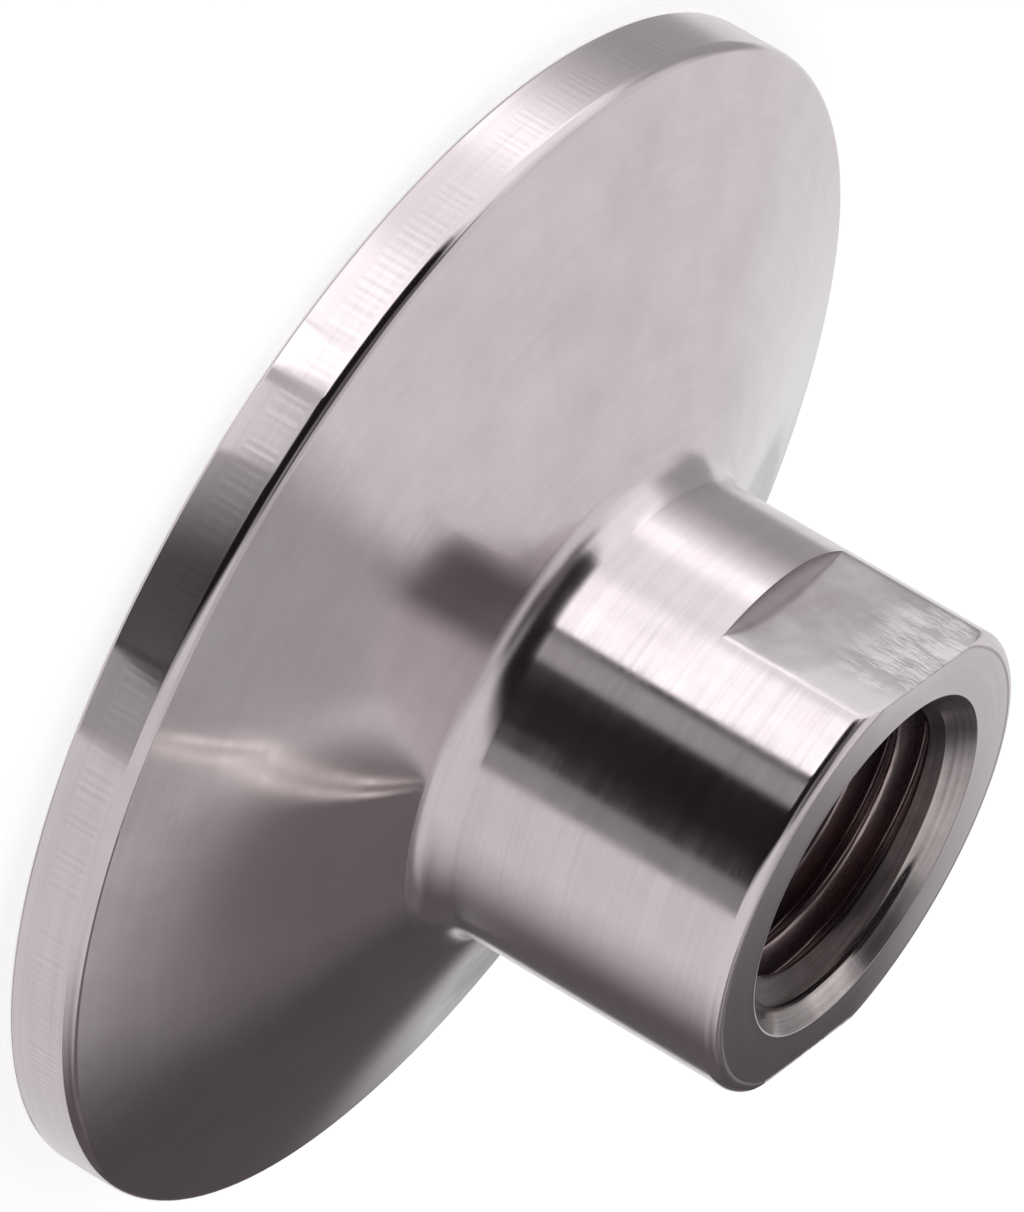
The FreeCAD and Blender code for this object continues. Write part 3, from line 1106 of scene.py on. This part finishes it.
# Each panel: bearing, height, half width, half height, side fade, end fade, strength, lean, tint.
TENT: dict[str, SoftPanel] = {
    "roof": SoftPanel(0.0, 90.0, 180.0, 20.0, 1.0, 16.0, 0.60),
    "front_flag": SoftPanel(8.0, 0.0, 54.0, 52.0, 14.0, 36.0, 0.014, 0.0, DUSK),
    "left_wall": SoftPanel(-100.0, -20.0, 63.0, 90.0, 24.0, 20.0, 0.80, 0.35),
    "key_wall": SoftPanel(74.0, -20.0, 25.0, 60.0, 12.0, 50.0, 1.16, 0.31),
    "left_step": SoftPanel(-41.0, -24.0, 7.8, 14.0, 6.0, 12.0, 0.23),
    "front_low": SoftPanel(-8.8, -24.0, 26.2, 14.0, 5.0, 12.0, 0.014, 0.0, DUSK),
    "slot": SoftPanel(11.4, -22.0, 6.2, 14.0, 4.5, 10.0, 0.42),
    "key_soft": SoftPanel(40.0, -45.0, 13.0, 38.0, 10.0, 10.0, 1.58),
    "key_strip": SoftPanel(29.6, -45.0, 8.0, 38.0, 0.8, 10.0, 1.66),
    "second_strip": SoftPanel(85.0, -20.0, 6.5, 14.0, 6.0, 10.0, 1.60, 0.3),
    "side_shade": SoftPanel(131.0, -6.0, 22.0, 30.0, 26.0, 20.0, 0.42),
    "arc_low": SoftPanel(52.5, 52.0, 30.5, 9.0, 20.0, 12.0, 0.15, 0.0, DUSK),
    "arc_high": SoftPanel(31.0, 65.0, 36.0, 9.5, 34.0, 13.0, 0.09, 0.0, DUSK),
    "left_dark": SoftPanel(-150.0, -8.0, 46.0, 42.0, 52.0, 30.0, 0.12, 0.0, DUSK),
    "left_cloud": SoftPanel(-147.0, 44.0, 10.5, 18.0, 9.0, 10.0, 0.16, 0.0, DUSK),
    "back_bright": SoftPanel(164.5, 19.0, 15.5, 46.0, 10.0, 10.0, 0.83),
    "back_low": SoftPanel(-168.0, -26.0, 9.0, 18.5, 6.0, 13.0, 0.80),
    "back_high": SoftPanel(-172.0, 52.0, 13.0, 18.0, 8.0, 12.0, 0.46),
    "back_flag": SoftPanel(-165.2, 11.5, 14.4, 18.5, 1.2, 24.0, 0.09, -0.14, DUSK),
    "streak_low": SoftPanel(-162.3, 53.8, 0.5, 0.9, 0.5, 0.4, 1.3, 2.3, WARM),
    "streak_lower": SoftPanel(-154.5, 55.1, 6.0, 0.16, 3.0, 0.16, 2.6, 0.0, WARM),
    "streak_high": SoftPanel(-162.4, 54.9, 0.4, 1.3, 0.4, 0.5, 1.2, 1.6, WARM),
    "streak_upper": SoftPanel(-154.5, 56.8, 6.5, 0.16, 4.0, 0.16, 2.4, 0.0, WARM),
}

BOARD: dict[str, SoftPanel] = {
    "left_glow": SoftPanel(-72.0, 25.25, 48.2, 20.0, 3.0, 1.0, 0.77, -1.0),
    "left_step": SoftPanel(-20.0, 25.25, 4.2, 20.0, 1.6, 1.0, 0.41, -0.85),
    "front_dark": SoftPanel(-4.0, 25.25, 12.0, 20.0, 1.2, 1.0, 0.09, -0.4),
    "front_rise": SoftPanel(5.0, 25.25, 7.6, 20.0, 12.0, 1.0, 0.48),
    "front_gleam": SoftPanel(6.7, 25.25, 4.2, 20.0, 1.2, 1.0, 0.92, 0.3),
    "front_line": SoftPanel(10.3, 25.25, 0.7, 20.0, 0.6, 1.0, 0.60, 0.4),
    "front_flash": SoftPanel(13.4, 25.25, 2.4, 20.0, 1.0, 1.0, 1.8, 0.5),
}


@dataclass
class Studio:
    """The tent of soft panels round the part, the board round its rim, and the pale floor under it.

    Attributes:
        bearing_zero: Azimuth of the camera, from which the panels' bearings are counted.
        cloth: Brightness of the tent's plain cloth.
        floor_half: Half the length of the floor's side.
        floor_drop: Depth of the floor under the part.
        floor_paper: Brightness of the floor's colour.
        floor_glow: Share of the floor's white that doesn't depend on the light.
        board_inner: Inner radius of the board.
        board_outer: Its outer radius.
        board_drop: Depth of the board under the clamp face.
        board_sides: Number of its straight sides.
        tent: The tent's panels, later ones over earlier ones.
        board: The board's panels, likewise.
    """

    bearing_zero: float
    cloth: float = 0.80
    floor_half: float = 3000.0
    floor_drop: float = 0.02
    floor_paper: float = 0.86
    floor_glow: float = 0.55
    board_inner: float = 25.4
    board_outer: float = 33.5
    board_drop: float = 0.01
    board_sides: int = 72
    tent: dict[str, SoftPanel] = field(default_factory=lambda: TENT)
    board: dict[str, SoftPanel] = field(default_factory=lambda: BOARD)

    def _bearing(self, bench: NodeBench, x: Any, y: Any) -> bpy.types.NodeSocket:
        """Gives the bearing of a point or direction from its two level coordinates."""
        azimuth = bench.math("DEGREES", bench.math("ARCTAN2", y, x))
        return bench.math("SUBTRACT", self.bearing_zero, azimuth)

    def build_tent(self) -> None:
        """Builds the world: plain cloth with panels laid over it, and white where the camera sees it."""
        world = bpy.data.worlds.new("tent")
        world.use_nodes = True
        bpy.context.scene.world = world
        world.cycles.sampling_method = "NONE"
        bench = NodeBench(world.node_tree)
        direction = bench.add("ShaderNodeTexCoord").outputs["Generated"]
        x, y, z = bench.split(direction)
        bearing = self._bearing(bench, x, y)
        height = bench.math("DEGREES", bench.math("ARCSINE", z))
        light: Any = (self.cloth, self.cloth, self.cloth, 1.0)
        for name, panel in self.tent.items():
            light = panel.lay(bench, light, panel.share(bench, bearing, height))
            log.info("tent: %s at bearing %.0f", name, panel.bearing)
        seen = bench.add("ShaderNodeLightPath").outputs["Is Camera Ray"]
        light = bench.blend(seen, light, (1.0, 1.0, 1.0, 1.0))
        shader = bench.add("ShaderNodeBackground", {"Color": light, "Strength": 1.0})
        bench.finish(shader, "ShaderNodeOutputWorld")

    def _stage_piece(self, name: str, corners: np.ndarray, quads: np.ndarray,
                     material: bpy.types.Material) -> bpy.types.Object:
        """Adds a plain piece of the studio, which is no part of the product.

        Args:
            name: Its name.
            corners: Its corners in millimetres, one row each.
            quads: The corners of each face, one row each.
            material: Its material.

        Returns:
            The new object.
        """
        mesh = bpy.data.meshes.new(name)
        mesh.from_pydata((corners * MM).tolist(), [], quads.tolist())
        mesh.materials.append(material)
        piece = bpy.data.objects.new(name, mesh)
        bpy.context.scene.collection.objects.link(piece)
        return piece

    def build_board(self) -> None:
        """Lays the board flat round the rim, where only what the rim mirrors meets it.

        Its corners lie at equal angles on two circles, and it is clear where no panel covers it.
        """
        material, bench = new_material("board_light")
        x, y, _ = bench.split(bench.add("ShaderNodeTexCoord").outputs["Object"])
        squares = [bench.math("MULTIPLY", value, value) for value in (x, y)]
        reach = bench.math("SQRT", bench.math("ADD", *squares))
        bearing, radius = self._bearing(bench, x, y), bench.math("MULTIPLY", reach, 1.0 / MM)
        light: Any = (0.0, 0.0, 0.0, 1.0)
        cover: Any = 0.0
        for name, panel in self.board.items():
            share = panel.share(bench, bearing, radius)
            light = panel.lay(bench, light, share)
            cover = bench.math("MAXIMUM", cover, share)
            log.info("board: %s at bearing %.0f", name, panel.bearing)
        glow = bench.add("ShaderNodeEmission", {"Color": light, "Strength": 1.0})
        clear = bench.add("ShaderNodeBsdfTransparent")
        shader = bench.add("ShaderNodeMixShader", {0: cover, 1: clear.outputs[0], 2: glow.outputs[0]})
        bench.finish(shader)
        turn = np.linspace(0.0, FULL_TURN, self.board_sides, endpoint=False)[None, :]
        radii = np.array([[self.board_inner], [self.board_outer]])
        level = np.full((2, self.board_sides), -self.board_drop)
        corners = np.stack([radii * np.cos(turn), radii * np.sin(turn), level], axis=2).reshape(-1, 3)
        here = np.arange(self.board_sides)
        after = np.roll(here, -1)
        quads = np.stack([here, after, after + self.board_sides, here + self.board_sides], axis=1)
        board = self._stage_piece("board", corners, quads, material)
        board.visible_camera = board.visible_diffuse = False
        board.visible_shadow = board.visible_transmission = False

    def build_floor(self) -> None:
        """Lays the floor just under the part: a plain square that keeps the part's soft shadow."""
        material, bench = new_material("pale_floor")
        path = bench.add("ShaderNodeLightPath").outputs
        mirrored = bench.math("MAXIMUM", path["Is Glossy Ray"], path["Is Transmission Ray"])
        seen = bench.math("MAXIMUM", path["Is Camera Ray"], mirrored)
        paper = bench.add("ShaderNodeBsdfDiffuse", {"Color": (*(self.floor_paper,) * 3, 1.0)})
        strength = bench.math("MULTIPLY", seen, self.floor_glow)
        glow = bench.add("ShaderNodeEmission", {"Color": (1.0, 1.0, 1.0, 1.0), "Strength": strength})
        shader = bench.add("ShaderNodeAddShader", {0: paper.outputs[0], 1: glow.outputs[0]})
        bench.finish(shader)
        square = np.array([[-1.0, -1.0], [1.0, -1.0], [1.0, 1.0], [-1.0, 1.0]]) * self.floor_half
        corners = np.column_stack([square, np.full(4, -self.floor_drop)])
        floor = self._stage_piece("floor", corners, np.arange(4)[None, :], material)
        floor.visible_glossy = False


@dataclass(frozen=True)
class PhotoCamera:
    """A long lens that looks down on the part from in front, turned on its side as the photograph was.

    Attributes:
        aim: Point on the centre of the view, in millimetres.
        azimuth: Direction of the camera from that point, in degrees from +X.
        elevation: Its height above the horizon from there, in degrees.
        distance: Its distance from there.
        roll: Turn of the camera about its line of sight, in degrees.
        sensor: Length of the picture's longer side on the sensor.
        lens: Focal length for that sensor.
        clip: Nearest and farthest distance that the camera sees, in metres.
    """

    aim: tuple[float, float, float] = (-2.03, -0.63, 3.55)
    azimuth: float = -35.895
    elevation: float = 19.77
    distance: float = 498.7
    roll: float = 120.43
    sensor: float = 36.0
    lens: float = 385.67
    clip: tuple[float, float] = (0.01, 20.0)

    def back(self) -> Vector:
        """Works out the direction from the aim to the camera.

        Returns:
            A vector of length 1.
        """
        azimuth, elevation = math.radians(self.azimuth), math.radians(self.elevation)
        level = math.cos(elevation)
        return Vector((math.cos(azimuth) * level, math.sin(azimuth) * level, math.sin(elevation)))

    def place(self) -> Vector:
        """Gives the camera's place, in millimetres."""
        return Vector(self.aim) + self.back() * self.distance

    def build(self) -> None:
        """Makes the camera and hands it to the scene."""
        data = bpy.data.cameras.new("camera")
        data.sensor_width = self.sensor
        data.lens = self.lens
        data.clip_start, data.clip_end = self.clip
        camera = bpy.data.objects.new("camera", data)
        upright = (-self.back()).to_track_quat("-Z", "Y").to_matrix().to_4x4()
        turned = Euler((0.0, 0.0, math.radians(self.roll))).to_matrix().to_4x4()
        camera.matrix_world = Matrix.Translation(self.place() * MM) @ upright @ turned
        bpy.context.scene.collection.objects.link(camera)
        bpy.context.scene.camera = camera


def main() -> None:
    """Builds the part, the studio and the camera."""
    logging.basicConfig(level=logging.INFO, format="%(name)s: %(message)s")
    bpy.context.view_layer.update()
    part = AdapterBody()
    body = part.build()
    part.dress(body)
    log.info("%s: %d faces", body.name, len(body.data.polygons))
    camera = PhotoCamera()
    camera.build()
    place = camera.place()
    studio = Studio(bearing_zero=math.degrees(math.atan2(place.y, place.x)))
    studio.build_tent()
    studio.build_board()
    studio.build_floor()
    bpy.context.scene.view_settings.view_transform = "Standard"


if __name__ == "__main__":
    main()
